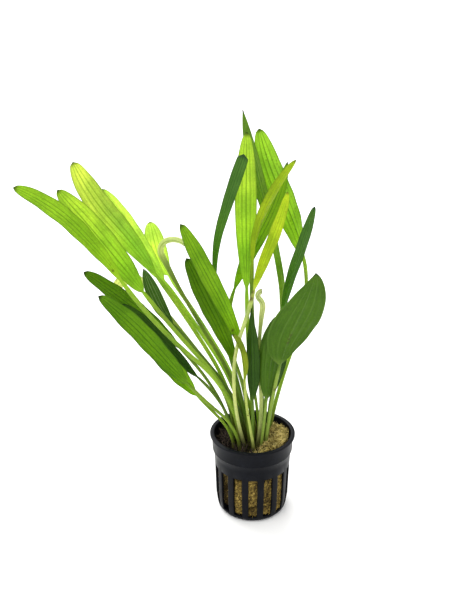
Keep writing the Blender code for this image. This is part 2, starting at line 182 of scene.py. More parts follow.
LOOKS = {
    "lime": LeafLook("a8c84a", "a8d02c", "a2c830", "4c5c22", "4d7818", "b4dc3c", "acd63a", 0.5, 0.75, 0.0),
    "vivid": LeafLook("a8c84a", "98c432", "b4d448", "4c5c22", "558218", "c4ec44", "dcf45c", 0.52, 0.75, 0.0),
    # The glow look's upper half is lighter than its lower half: painted light where the blade glows alone,
    # and painted shade where other leaves cover it lower down
    "glow": LeafLook("acca4c", "a0cc48", "c8d866", "5f7028", "6a961c", "ccec58", "e8f47c", 0.6, 0.7, 0.0),
    # The light look's colours are raised far above the tissue's own, to stand in for the light from behind:
    # painted light
    "light": LeafLook("b0d050", "d2f470", "d8f678", "5f7028", "8cb832", "ecff84", "f0ff88", 0.58, 0.7, 0.0),
    "pale": LeafLook("a4b85c", "d2dc84", "d8e08c", "8c9a50", "98aa44", "f0f6ac", "f4f8b0", 0.6, 0.6, 0.0),
    "fresh": LeafLook("8cac38", "7eb218", "7caa1a", "2c3c18", "3c640c", "b0d424", "acd028", 0.4, 0.8, 0.15),
    "soft": LeafLook("90b040", "749e2a", "759638", "2c3c18", "42680f", "a4cc38", "a0c440", 0.45, 0.8, 0.2),
    "bright": LeafLook("9cba42", "90b628", "9cc43c", "44521e", "4a7216", "b4e03c", "c4ea4c", 0.5, 0.8, 0.25),
    "mid": LeafLook("86a43e", "5e8a0e", "5a8212", "202c14", "2c5208", "9cc41c", "92bc26", 0.36, 0.75, 0.05),
    "leafy": LeafLook("8aa83a", "66980f", "649212", "202c14", "2c5208", "a0c81c", "98c024", 0.38, 0.8, 0.05),
    # The deep look is dark green, made darker still for leaves that stand in shade: painted shade
    "deep_green_and_shade": LeafLook("6c8a34", "2e5010", "345612", "1a2410", "1c3806", "64901e", "689422", 0.28, 0.7, 0.0),
    "dull": LeafLook("6c8e30", "4a7c14", "4a742c", "26402c", "264a0a", "84b420", "80a838", 0.3, 0.6, 0.05),
    "under": LeafLook("8aa444", "426612", "466a16", "34481e", "6c9038", "7ca02a", "7ca02a", 0.28, 0.5, 0.05),
    "yellow": LeafLook("d8e294", "b0c428", "b8cc30", "7c8228", "8aa41c", "dcec44", "e0f04c", 0.5, 0.5, 0.15),
    "gold": LeafLook("7c9c34", "a0b824", "a4bc28", "7c8228", "7a9818", "c8dc38", "ccdc40", 0.5, 0.5, 0.15),
    "folded": LeafLook("6c8a34", "365c12", "3a6014", "1a2410", "9cb870", "64901e", "689422", 0.28, 0.75, 0.0),
    "spotted": LeafLook("c8d674", "a8bc34", "90a430", "23240f", "506a18", "b4cc40", "b4cc40", 0.4, 0.4, 0.9),
    "arch": LeafLook("7f9a38", "c4d27c", "ccd88c", "a4b468", "8aa448", "e4ecb4", "e8f0bc", 0.45, 0.8, 0.0),
    "bare": LeafLook("ccd888", "dce49c", "dce4a0", "6a5630", "96a858", "e4ecb4", "e8f0bc", 0.45, 0.8, 0.0),
}
# Brown marks by leaf: distance up it, place across it from -1 to 1, and radius
BLEMISHES = {
    "leaf_left_1": ((146, 0.3, 0.8), (149, -0.1, 0.5)),
    "leaf_top_3": ((128, 0.3, 1.2), (131, -0.2, 1.0)),
    "leaf_top_6": ((105, 0.8, 1.6), (109, 0.9, 1.3)),
    "leaf_right_1": ((45, 0.3, 1.0), (80, 0.03, 0.5), (83, 0.0, 0.6), (86, 0.02, 0.6)),
    "leaf_middle_1": ((84, 0.4, 1.0),),
}

CROWN_TOP = 47
FOOT_CLEARANCE = 0.6
FOOT_DEPTH = 5
STALK_ROWS = 30
BLADE_ROWS = 74
MAIN_VEINS = ((0.0, 1.0), (0.38, 0.75), (0.68, 0.25))
VEIN_HALF_WIDTH = 0.06  # shares of the blade's half width, as are the veins' places and MARGIN
MARGIN = 0.9
RUNG_SPACING = 1.4
LEAF_MAP_LENGTH = 250
STALK_FOOT = "6c6c34"
SPECK = "2c2c14"
BLEMISH = "4a3c18"


# Small helpers for selecting, editing and finishing


def linear(code):
    """An sRGB hex value as linear red, green, blue and alpha."""
    levels = [int(code[i : i + 2], 16) / 255 for i in (0, 2, 4)]
    return (*[v / 12.92 if v <= 0.04045 else ((v + 0.055) / 1.055) ** 2.4 for v in levels], 1.0)


def deselect_all():
    if bpy.context.mode != "OBJECT":
        bpy.ops.object.mode_set(mode="OBJECT")
    bpy.ops.object.select_all(action="DESELECT")


def select_only(piece):
    deselect_all()
    piece.select_set(True)
    bpy.context.view_layer.objects.active = piece


def edit(piece, kind="VERT"):
    """Opens a piece in edit mode with nothing selected."""
    select_only(piece)
    bpy.ops.object.mode_set(mode="EDIT")
    bpy.ops.mesh.select_mode(type=kind)
    bpy.ops.mesh.select_all(action="DESELECT")


def pick(piece, kind, test):
    """Selects the vertices, edges or faces of a piece in edit mode for which the test is true."""
    shape = bmesh.from_edit_mesh(piece.data)
    items = {"VERT": shape.verts, "EDGE": shape.edges, "FACE": shape.faces}[kind]
    for item in items:
        item.select_set(bool(test(item)))
    shape.select_flush_mode()
    bmesh.update_edit_mesh(piece.data)


def face_outward(piece):
    edit(piece)
    bpy.ops.mesh.select_all(action="SELECT")
    bpy.ops.mesh.normals_make_consistent(inside=False)
    bpy.ops.object.mode_set(mode="OBJECT")


def apply_place(piece):
    select_only(piece)
    bpy.ops.object.transform_apply(location=True, rotation=True, scale=True)


def apply_modifier(piece, kind, **settings):
    """Adds a modifier, sets it and applies it."""
    select_only(piece)
    modifier = piece.modifiers.new(kind.lower(), kind)
    for name, value in settings.items():
        setattr(modifier, name, value)
    bpy.ops.object.modifier_apply(modifier=modifier.name)


def own_piece(name):
    """Names the active object and its mesh, and returns it."""
    piece = bpy.context.view_layer.objects.active
    piece.name = name
    piece.data.name = name
    return piece


def wear(piece, material):
    piece.data.materials.clear()
    piece.data.materials.append(material)


def hand_in(piece, slot, *nodes):
    """Ties a finished piece to the body and hides the solids that it stands for; the slot is not used."""
    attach(piece, BODY)
    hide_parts(*nodes)


def write_points(piece, points):
    piece.data.vertices.foreach_set("co", np.ascontiguousarray(points, np.float32).ravel())
    piece.data.update()


def slot_of_node():
    """The record's material slot for each CAD node."""
    return {part["node"]: part["material_slot"] for part in frame["record"]["subparts"]}


def read_points(piece):
    points = np.zeros(len(piece.data.vertices) * 3, np.float32)
    piece.data.vertices.foreach_get("co", points)
    return points.reshape(-1, 3).astype(float)


def smooth_step(share):
    share = np.clip(share, 0.0, 1.0)
    return share * share * (3 - 2 * share)


# Materials


def start_material(name):
    """A new material and its empty node tree."""
    material = bpy.data.materials.new(name)
    material.use_nodes = True
    material.node_tree.nodes.clear()
    return material, material.node_tree


def add_node(tree, kind, inputs=None, **settings):
    """Adds a node with its settings, and with a value or a link for each input."""
    made = tree.nodes.new(kind)
    for name, value in settings.items():
        setattr(made, name, value)
    for name, value in (inputs or {}).items():
        if isinstance(value, bpy.types.NodeSocket):
            tree.links.new(value, made.inputs[name])
        else:
            made.inputs[name].default_value = value
    return made


def grey(level):
    return (level, level, level, 1.0)


def ramp(tree, level, *stops):
    """A colour ramp over a level, from (place, colour) pairs."""
    node = add_node(tree, "ShaderNodeValToRGB", {"Fac": level})
    elements = node.color_ramp.elements
    while len(elements) > 1:
        elements.remove(elements[-1])
    elements[0].position = stops[0][0]
    elements[0].color = stops[0][1]
    for place, colour in stops[1:]:
        elements.new(place).color = colour
    return node.outputs["Color"]


def mix_colours(tree, share, first, second, blend="MIX"):
    inputs = {0: share, 6: first, 7: second}
    return add_node(tree, "ShaderNodeMix", inputs, data_type="RGBA", blend_type=blend).outputs[2]


def attribute(tree, name):
    return add_node(tree, "ShaderNodeAttribute", attribute_name=name).outputs["Fac"]


def solid_place(tree):
    """The place in the piece's own space, in metres."""
    return add_node(tree, "ShaderNodeTexCoord").outputs["Object"]


def noise(tree, vector, scale, detail=2.0, roughness=0.5):
    """Cloudy noise with so many cells to the vector's unit."""
    inputs = {"Vector": vector, "Scale": scale, "Detail": detail, "Roughness": roughness}
    return add_node(tree, "ShaderNodeTexNoise", inputs).outputs["Fac"]


def compute(tree, operation, *values):
    return add_node(tree, "ShaderNodeMath", dict(enumerate(values)), operation=operation).outputs[0]


def remap(tree, level, low, high, to_low, to_high):
    """Moves a level from one range to another and clamps it there."""
    inputs = {"Value": level, "From Min": low, "From Max": high, "To Min": to_low, "To Max": to_high}
    return add_node(tree, "ShaderNodeMapRange", inputs).outputs["Result"]


def stretched(tree, vector, scale):
    return add_node(tree, "ShaderNodeMapping", {"Vector": vector, "Scale": scale}).outputs["Vector"]


def bumped_skin(tree, colour, roughness, ior, specular, height, strength, depth_mm):
    """A principled shader whose surface rises with a height."""
    relief = {"Strength": strength, "Distance": depth_mm * MM, "Height": height}
    inputs = {
        "Base Color": colour,
        "Roughness": roughness,
        "IOR": ior,
        "Specular IOR Level": specular,
        "Normal": add_node(tree, "ShaderNodeBump", relief).outputs["Normal"],
    }
    return add_node(tree, "ShaderNodeBsdfPrincipled", inputs).outputs["BSDF"]


def living_leaf(name, look):
    """A fresh water-plant leaf: thin, waxy, lit from behind through its green tissue.

    Light that comes through makes it glow yellow-green. The main veins, the margin and the fine
    ladder of cross veins read darker than the tissue between them.
    """
    material, tree = start_material(name)
    growth = attribute(tree, "growth")
    place = add_node(tree, "ShaderNodeUVMap", uv_map="leaf_map").outputs["UV"]
    solid = solid_place(tree)

    def along(blade, crest, tip_starts, tip_full):
        stalk_stops = ((0.0, STALK_FOOT), (0.09, look.stalk), (0.44, look.stalk))
        blade_stops = ((0.54, blade), (0.64, blade), (0.84, crest), (tip_starts, crest), (tip_full, look.tip))
        return ramp(tree, growth, *[(where, linear(code)) for where, code in stalk_stops + blade_stops])

    face = along(look.blade, look.crest, 0.982, 0.998)
    through = along(look.through, look.glow, 0.986, 1.0)

    # 1 is every metre, so 60 is a patch of about 17 mm and 900 a cell of about 1 mm
    patch = noise(tree, solid, 60.0, 3.0)
    cell = noise(tree, solid, 900.0)
    # Fine streaks along the blade, half a millimetre wide and 12 mm long
    streak = noise(tree, stretched(tree, place, (26.0, 20.0, 1.0)), 1.0)
    # The ladder of cross veins
    rung = {
        "Vector": stretched(tree, place, (6.0, LEAF_MAP_LENGTH / RUNG_SPACING, 1.0)),
        "Color1": grey(0.0),
        "Color2": grey(0.0),
        "Mortar": grey(1.0),
        "Scale": 1.0,
        "Mortar Size": 0.08,
        "Mortar Smooth": 0.8,
        "Brick Width": 1.0,
        "Row Height": 1.0,
    }
    ladder = add_node(tree, "ShaderNodeTexBrick", rung, offset=0.5).outputs["Color"]
    rungs = compute(tree, "MULTIPLY", ladder, remap(tree, growth, 0.5, 0.6, 0.0, 0.16))
    lines = compute(tree, "MAXIMUM", attribute(tree, "vein"), rungs)
    shown = compute(tree, "MULTIPLY", lines, look.veins_show)

    # Tones that multiply the colour: lighter bands beside the midrib, patches, streaks and cells
    across = add_node(tree, "ShaderNodeSeparateXYZ", {0: place}).outputs["X"]
    aside = compute(tree, "ABSOLUTE", compute(tree, "SUBTRACT", across, 0.5))
    bands = ((0.02, 0.96), (0.07, 1.07), (0.13, 1.04), (0.2, 0.96), (0.3, 1.02), (0.46, 0.9))
    shades = (
        ramp(tree, aside, *[(where, grey(level)) for where, level in bands]),
        ramp(tree, patch, (0.35, (0.8, 0.86, 0.76, 1.0)), (0.5, grey(1.0)), (0.65, (1.12, 1.07, 1.1, 1.0))),
        ramp(tree, streak, (0.3, grey(0.88)), (0.7, grey(1.08))),
        ramp(tree, cell, (0.3, grey(0.9)), (0.7, grey(1.06))),
    )
    if look.spots > 0:
        dots = add_node(tree, "ShaderNodeTexVoronoi", {"Vector": solid, "Scale": 300.0, "Randomness": 1.0})
        spot = grey(look.spots)
        specks = ramp(tree, dots.outputs["Distance"], (0.0, spot), (0.12, spot), (0.2, grey(0.0)))
    stain = attribute(tree, "stain")

    def finish(colour):
        for shade in shades:
            colour = mix_colours(tree, 1.0, colour, shade, "MULTIPLY")
        colour = mix_colours(tree, shown, colour, linear(look.vein))
        if look.spots > 0:
            colour = mix_colours(tree, specks, colour, linear(SPECK))
        return mix_colours(tree, stain, colour, linear(BLEMISH))

    relief = compute(tree, "SUBTRACT", lines, cell)
    skin = bumped_skin(tree, finish(face), 0.45, 1.42, 0.16, relief, 0.35, 0.15)
    glow = add_node(tree, "ShaderNodeBsdfTranslucent", {"Color": finish(through)}).outputs["BSDF"]
    both = add_node(tree, "ShaderNodeMixShader", {0: look.translucence, 1: skin, 2: glow})
    add_node(tree, "ShaderNodeOutputMaterial", {"Surface": both.outputs["Shader"]})
    return material


def moulded_plastic():
    """Black polypropylene from a satin mould, with a soft broad highlight and faint scuffs."""
    material, tree = start_material("moulded_black_polypropylene")
    solid = solid_place(tree)
    grain = noise(tree, solid, 1500.0)
    scuff = noise(tree, solid, 140.0, 6.0, 0.7)
    colour = ramp(tree, scuff, (0.35, linear("0a0b0f")), (0.6, linear("0f1116")), (0.75, linear("1b1d24")))
    dull = remap(tree, scuff, 0.3, 0.7, 0.3, 0.46)
    skin = bumped_skin(tree, colour, dull, 1.49, 0.06, grain, 0.15, 0.05)
    add_node(tree, "ShaderNodeOutputMaterial", {"Surface": skin})
    return material


def matted_fibre(name, dark, middle, light, grain_mm):
    """Spun mineral wool or root fibre: dull, grainy, with painted shade in its pits and paler loose strands.

    The attribute strand is 1 on the palest loose strands, and shade_and_dark_wool is 1 where painted shade
    darkens the mass in its hollows, and where the wool is darker.
    """
    material, tree = start_material(name)
    solid = solid_place(tree)
    fleck = noise(tree, solid, 1000 / grain_mm, 4.0, 0.7)
    drift = noise(tree, solid, 140.0, 3.0)
    # The tone follows mostly the bump's own noise, so the pits come out darkest: painted shade, with a random
    # drift of tone on top
    tone = compute(tree, "MULTIPLY_ADD", fleck, 0.7, compute(tree, "MULTIPLY", drift, 0.3))
    stops = ((0.43, dark), (0.48, middle), (0.53, middle), (0.58, light))
    mass = ramp(tree, tone, *[(where, linear(code)) for where, code in stops])
    colour = mix_colours(tree, attribute(tree, "strand"), mass, linear(light))
    # Darkens the mass by its attribute: painted shade in the hollows, and darker wool
    colour = mix_colours(tree, attribute(tree, "shade_and_dark_wool"), colour, linear(dark))
    skin = bumped_skin(tree, colour, 0.92, 1.4, 0.2, fleck, 1.0, 0.5)
    add_node(tree, "ShaderNodeOutputMaterial", {"Surface": skin})
    return material


def painted_paper(name, code):
    """Matt white studio paper, with the faintest mottle."""
    material, tree = start_material(name)
    tint = ramp(tree, noise(tree, solid_place(tree), 3.0), (0.3, grey(0.97)), (0.7, grey(1.0)))
    colour = mix_colours(tree, 1.0, linear(code), tint, "MULTIPLY")
    inputs = {"Base Color": colour, "Roughness": 0.9, "Specular IOR Level": 0.2}
    skin = add_node(tree, "ShaderNodeBsdfPrincipled", inputs).outputs["BSDF"]
    add_node(tree, "ShaderNodeOutputMaterial", {"Surface": skin})
    return material


# Leaves


def lane_places():
    """Where the blank's columns run across the blade, from -1 to 1, with three to each main vein."""
    places = {0.0, 0.15, 0.48, 0.8, MARGIN, 1.0}
    for vein, _ in MAIN_VEINS:
        places |= {vein, vein + VEIN_HALF_WIDTH, abs(vein - VEIN_HALF_WIDTH)}
    right = sorted(places)
    return np.array([-p for p in reversed(right[1:])] + right)


def make_blank():
    """The straight leaf that every leaf is copied from: a flat slab with its columns and rows."""
    lanes = len(lane_places())
    deselect_all()
    bpy.ops.mesh.primitive_grid_add(
        x_subdivisions=lanes - 1, y_subdivisions=STALK_ROWS + BLADE_ROWS - 1, size=2.0
    )
    blank = own_piece("leaf_blank")
    apply_modifier(blank, "SOLIDIFY", thickness=0.1, offset=-1.0, use_rim=True)
    blank.data.uv_layers[0].name = "leaf_map"
    return blank


def leaf_rows(leaf):
    """Distances up the leaf of the blank's rows, from the buried foot to the tip."""
    stalk = np.linspace(-FOOT_DEPTH, leaf.stalk - 8, STALK_ROWS)
    share = np.linspace(0.0, 1.0, BLADE_ROWS + 1)[1:]
    crowd = share + 0.035 * np.sin(2 * math.pi * share)
    blade = leaf.stalk - 8 + (leaf.blade + 8) * crowd
    return np.concatenate([stalk, blade])


def share_of(leaf, distance):
    """How far up the leaf a distance is: 0 at its foot, 0.5 at the collar and 1 at its tip."""
    return np.interp(distance, (0, leaf.stalk, leaf.stalk + leaf.blade), (0, 0.5, 1))


def leaf_axes(leaf, rows):
    """The midrib's points and the three directions of its cross-sections, for each row."""

    def directions(distance):
        share = share_of(leaf, distance)
        lean = np.radians(np.interp(share, np.linspace(0, 1, len(leaf.lean)), leaf.lean))
        heading = np.radians(np.interp(share, (0, 0.5, 1), leaf.heading))
        out = np.stack([np.cos(heading), np.sin(heading), np.zeros_like(heading)], 1)
        up = np.array([0.0, 0.0, 1.0])
        along = np.sin(lean)[:, None] * out + np.cos(lean)[:, None] * up
        along[distance < 0] = up
        side = np.cross(np.broadcast_to(up, out.shape), out)
        return along, side, np.cross(along, side)

    step = 0.5
    walk = np.arange(0, leaf.stalk + leaf.blade + step, step)
    steps = directions(walk[:-1] + step / 2)[0] * step
    path = np.concatenate([np.zeros((1, 3)), np.cumsum(steps, 0)])
    points = np.stack([np.interp(rows, walk, path[:, k]) for k in range(3)], 1)
    points[:, 2] += np.minimum(rows, 0)
    points += (*leaf.foot, CROWN_TOP + FOOT_CLEARANCE)
    along, side, upper = directions(rows)
    blade_share = np.clip((rows - leaf.stalk) / leaf.blade, 0, 1)
    roll = np.interp(blade_share, (0, 1), leaf.roll) * np.clip(rows / leaf.stalk, 0, 1)
    cos = np.cos(np.radians(roll))[:, None]
    sin = np.sin(np.radians(roll))[:, None]
    return points, cos * side + sin * upper, cos * upper - sin * side, blade_share


def half_widths(leaf, share, across):
    """Half the blade's width up its length, on the side that across says."""
    shape = leaf.outline
    widest = shape.widest + leaf.skew * np.sign(across)
    rise = shape.taper * widest
    fall = shape.taper * (1 - widest)
    top = widest**rise * (1 - widest) ** fall
    return 0.5 * leaf.width * share**rise * (1 - share) ** fall / top


def write_attribute(piece, name, values):
    layer = piece.data.attributes.new(name, "FLOAT", "POINT")
    layer.data.foreach_set("value", np.ascontiguousarray(values, np.float32))


def lay_leaf(blank, leaf, seed):
    """Copies the blank and lays it along one leaf's midrib, round in the stalk and thin in the blade."""
    piece = blank.copy()
    piece.data = blank.data.copy()
    piece.name = f"grown_{leaf.node}"
    piece.data.name = piece.name
    bpy.context.scene.collection.objects.link(piece)
    flat = read_points(piece)
    places = lane_places()
    lane = np.rint((flat[:, 0] + 1) / 2 * (len(places) - 1)).astype(int)
    row = np.rint((flat[:, 1] + 1) / 2 * (STALK_ROWS + BLADE_ROWS - 1)).astype(int)
    top = flat[:, 2] > -0.05
    rows = leaf_rows(leaf)
    points, side, upper, share = leaf_axes(leaf, rows)
    across = places[lane]
    distance = rows[row]
    grown = share[row]

    # The stalk: an oval, flatter on its upper side, with a sheath at its foot
    bare = leaf.look in ("bare", "arch")
    stout = (0.8 + leaf.stalk / 210) * (1 + 0.3 * np.exp(-np.maximum(distance, 0) / 12)) * (1 - 0.2 * grown)
    if bare:
        end = 0.5 * leaf.width
        stout = np.interp(distance / leaf.stalk, (0, 0.5, 0.85, 1.0, 1.2), (1.5, 1.25, 1.25, end, 0.8 * end))
    turn = np.clip(math.pi * (1 - across) / 2, 0.07, math.pi - 0.07)
    stalk_side = stout * np.cos(turn)
    stalk_up = np.where(top, 0.9 if bare else 0.62, -0.95) * stout * np.sin(turn)

    # The blade: a thin sheet, folded at the midrib, pleated between the veins, rippled at its edge
    width = half_widths(leaf, grown, across)
    width = np.maximum(width, leaf.wing * smooth_step((1 - grown) / 0.8))
    vein_places, vein_strengths = np.array(MAIN_VEINS).T
    gaps = np.abs(np.abs(across)[:, None] - vein_places)
    nearest = np.min(gaps, 1)
    strength = vein_strengths[np.argmin(gaps, 1)]
    pleat = 0.035 * width * np.clip(nearest / 0.12, 0, 1)
    soft = np.sqrt(across**2 + 0.012) - math.sqrt(0.012)
    rise = width * soft * math.tan(math.radians(leaf.outline.fold)) * np.clip(grown / 0.15, 0, 1)
    beat = 2 * math.pi * distance / (17 + 3 * math.sin(seed)) + seed + np.where(across > 0, 2.2, 0)
    ripple = leaf.wave * np.abs(across) ** 3 * np.sin(beat) * np.clip(width / 6, 0, 1)
    sheet = np.interp(np.abs(across), (0, 1), (0.26, 0.12))
    keel = 0.75 * (1 - grown) ** 1.2 * np.exp(-((across * np.maximum(width, 1) / 0.75) ** 2))
    vein = strength * np.clip(1 - nearest / VEIN_HALF_WIDTH, 0, 1)
    margin = 0.95 * np.clip((np.abs(across) - MARGIN) / (1 - MARGIN), 0, 1)
    blade_side = across * np.maximum(width, 0.25)
    blade_up = rise + pleat + ripple + np.where(top, sheet, -sheet - keel - 0.12 * vein)

    lead = 34 if leaf.wing else 8
    opened = smooth_step((distance - leaf.stalk + lead) / (8 + 0.16 * leaf.blade)) * (not bare)
    wide = np.maximum(np.abs(blade_side), np.abs(stalk_side) * (1 - opened)) * np.sign(across)
    high = stalk_up * (1 - opened) + blade_up * opened
    laid = points[row] + side[row] * wide[:, None] + upper[row] * high[:, None]
    write_points(piece, laid * MM)

    growth = share_of(leaf, distance)
    stain = np.zeros(len(growth))
    for far, aside, radius in BLEMISHES.get(leaf.node, ()):
        gap = np.hypot(distance - far, (across - aside) * np.maximum(width, 1.2))
        stain = np.maximum(stain, 0.8 * np.clip(1.5 - gap / radius, 0, 1))
    write_attribute(piece, "growth", growth)
    write_attribute(piece, "vein", np.maximum(vein, margin) * np.clip(growth * 4 - 1.6, 0.15 * bare, 1))
    write_attribute(piece, "stain", stain)
    corner = np.zeros(len(piece.data.loops), np.int32)
    piece.data.loops.foreach_get("vertex_index", corner)
    uv = np.stack([0.5 + 0.5 * across, np.clip(distance / LEAF_MAP_LENGTH, 0, 1)], 1)[corner]
    piece.data.uv_layers["leaf_map"].data.foreach_set("uv", uv.astype(np.float32).ravel())
    face_outward(piece)
    bpy.ops.object.shade_smooth_by_angle(angle=math.radians(60))
    return piece


# The pot


def turn_profile(name, columns, profile, first_angle=0.0):
    """A shell turned about Z: a circle that is extruded and scaled from ring to ring."""
    radius, height = profile[0]
    deselect_all()
    bpy.ops.mesh.primitive_circle_add(
        vertices=columns,
        radius=radius * MM,
        location=(0, 0, height * MM),
        rotation=(0, 0, math.radians(first_angle)),
    )
    piece = own_piece(name)
    apply_place(piece)
    edit(piece)
    bpy.ops.mesh.select_all(action="SELECT")
    for (r_from, z_from), (r_to, z_to) in zip(profile, profile[1:]):
        bpy.ops.mesh.extrude_edges_move(TRANSFORM_OT_translate={"value": (0, 0, (z_to - z_from) * MM)})
        scale = r_to / r_from
        bpy.ops.transform.resize(value=(scale, scale, 1), center_override=(0, 0, z_to * MM))
    bpy.ops.object.mode_set(mode="OBJECT")
    return piece


class PlantSizes(bpy.types.PropertyGroup):
    """The pot's sizes that a user may change."""

    wall: bpy.props.FloatProperty(
        name="Wall", description="Thickness of the pot's wall", default=1.4 * MM, unit="LENGTH"
    )
    rim_round: bpy.props.FloatProperty(
        name="Edge rounding", description="How far the edges are rounded", default=0.35 * MM, unit="LENGTH"
    )
    fibre_count: bpy.props.IntProperty(
        name="Wool fibres", description="Loose fibres on each piece of wool", default=3600
    )
    root_count: bpy.props.IntProperty(
        name="Roots", description="Dark roots beside the crown", default=620
    )


class PlantColours(bpy.types.PropertyGroup):
    """The stage's and the wool's colours that a user may change."""

    paper: bpy.props.StringProperty(
        name="Paper", description="The floor's colour as an sRGB hex value", default="fbfbfa"
    )
    wool: bpy.props.StringProperty(
        name="Wool", description="The rock wool's main colour as an sRGB hex value", default="6e5c2a"
    )
    light: bpy.props.FloatProperty(
        name="Light", description="Strength of the soft light from all round", default=1.12
    )


SLOT_COUNT = 15
POT_COLUMNS = 180
SLOT_HALF_ANGLE = 7.0
SLOT_TOP = 32.5
SLOT_BOTTOM = 3.4
RIM_RADIUS = 27.5
POT_HEIGHT = 54.0


def pot_profile(wall):
    """The wall's outer side from under the lip to the base, as (radius, height) in millimetres."""
    lip = POT_HEIGHT - wall
    return (
        (RIM_RADIUS, lip),
        (26.2, lip),
        (26.0, lip - 9.2),
        (25.5, lip - 9.7),
        (24.8, 38.5),
        (24.5, SLOT_TOP),
        (23.8, 10.0),
        (22.9, SLOT_BOTTOM),
        (22.45, 1.9),
        (21.7, 0.8),
        (20.6, 0.0),
    )


class PLANT_OT_net_pot(bpy.types.Operator):
    """Turns the slotted pot, opens its slots and gives the wall its thickness"""

    bl_idname = "plant.net_pot"
    bl_label = "Net pot"

    def execute(self, context):
        sizes = context.scene.plant_sizes
        wall = sizes.wall / MM
        pot = turn_profile("net_pot_moulded", POT_COLUMNS, pot_profile(wall), 1.0)
        edit(pot, "EDGE")
        pick(pot, "EDGE", lambda e: all(v.co.z < 0.01 * MM for v in e.verts))
        bpy.ops.mesh.edge_face_add()
        bpy.ops.mesh.select_all(action="DESELECT")

        def in_slot(face):
            middle = face.calc_center_median()
            if not SLOT_BOTTOM * MM < middle.z < SLOT_TOP * MM:
                return False
            pitch = 360 / SLOT_COUNT
            turn = (math.degrees(math.atan2(middle.y, middle.x)) + 90 + pitch / 2) % pitch - pitch / 2
            return abs(turn) < SLOT_HALF_ANGLE

        bpy.ops.mesh.select_mode(type="FACE")
        pick(pot, "FACE", in_slot)
        bpy.ops.mesh.delete(type="FACE")
        bpy.ops.object.mode_set(mode="OBJECT")
        wall_face = next(p for p in pot.data.polygons if 39 * MM < p.center.z < 42 * MM)
        if wall_face.normal.dot(wall_face.center * Vector((1, 1, 0))) < 0:
            edit(pot)
            bpy.ops.mesh.select_all(action="SELECT")
            bpy.ops.mesh.flip_normals()
            bpy.ops.object.mode_set(mode="OBJECT")
        apply_modifier(pot, "SOLIDIFY", thickness=sizes.wall, offset=-1.0, use_even_offset=True)
        sharp = math.radians(50)
        apply_modifier(
            pot, "BEVEL", width=sizes.rim_round, segments=2, limit_method="ANGLE", angle_limit=sharp
        )
        select_only(pot)
        bpy.ops.object.shade_smooth_by_angle(angle=math.radians(40))
        wear(pot, moulded_plastic())
        hand_in(pot, "black_plastic", "net_pot")
        return {"FINISHED"}


# Wool, roots and crown


def close_ends(piece, middle_mm, cuts=0):
    """Closes the open end below a height and the one above it, and turns the faces outward."""
    edit(piece, "EDGE")
    for below in (True, False):
        bpy.ops.mesh.select_all(action="DESELECT")
        pick(piece, "EDGE", lambda e: e.is_boundary and (e.verts[0].co.z < middle_mm * MM) == below)
        bpy.ops.mesh.edge_face_add()
    if cuts:
        bpy.ops.mesh.select_all(action="SELECT")
        bpy.ops.mesh.subdivide(number_cuts=cuts)
    bpy.ops.object.mode_set(mode="OBJECT")
    face_outward(piece)


class Strand(NamedTuple):
    """A kind of fibre or root: its length and radius, sides and joints of its tube, and its curl."""

    length: float
    radius: float
    sides: int
    joints: int
    curl: float


WOOL_FIBRE = Strand(1.8, 0.14, 3, 3, 0.4)
TORN_FIBRE = Strand(2.4, 0.16, 3, 3, 0.45)
ROOT = Strand(11, 0.26, 5, 9, 0.28)
STRAY_ROOT = Strand(6, 0.13, 5, 8, 0.3)
CROWN_THREAD = Strand(7, 0.25, 5, 7, 0.3)


def thin_strands(name, starts, directions, normals, kind, seed):
    """Many short bent tubes as one mesh, each from a start along a direction, curling at random."""
    random = np.random.default_rng(seed)
    count = len(starts)
    sides = kind.sides
    joints = kind.joints
    lengths = kind.length * MM * random.uniform(0.5, 1.3, count)
    points = np.zeros((count, joints + 1, 3))
    points[:, 0] = starts
    heading = directions.copy()
    for j in range(joints):
        heading = heading + random.normal(0, kind.curl, (count, 3))
        heading /= np.linalg.norm(heading, axis=1, keepdims=True)
        points[:, j + 1] = points[:, j] + heading * (lengths / joints)[:, None]
    tangent = np.gradient(points, axis=1)
    tangent /= np.linalg.norm(tangent, axis=2, keepdims=True) + 1e-12
    across = np.cross(tangent, normals[:, None, :])
    across /= np.linalg.norm(across, axis=2, keepdims=True) + 1e-12
    over = np.cross(across, tangent)
    thin = kind.radius * MM * (1 - 0.5 * np.linspace(0, 1, joints + 1) ** 2)
    thick = random.uniform(0.6, 1.3, count)
    rings = []
    for k in range(sides):
        turn = 2 * math.pi * k / sides
        offset = math.cos(turn) * across + math.sin(turn) * over
        rings.append(points + offset * thin[None, :, None] * thick[:, None, None])
    vertices = np.stack(rings, 2).reshape(-1, 3)
    faces = []
    per = (joints + 1) * sides
    for s in range(count):
        base = s * per
        for j in range(joints):
            low = base + j * sides
            for k in range(sides):
                m = (k + 1) % sides
                faces.append((low + k, low + m, low + sides + m, low + sides + k))
        faces.append(tuple(base + k for k in reversed(range(sides))))
        faces.append(tuple(base + joints * sides + k for k in range(sides)))
    mesh = bpy.data.meshes.new(name)
    mesh.from_pydata(vertices.tolist(), [], faces)
    piece = bpy.data.objects.new(name, mesh)
    bpy.context.scene.collection.objects.link(piece)
    write_attribute(piece, "strand", np.repeat(random.uniform(0.0, 0.95, count) ** 2, per))
    return piece


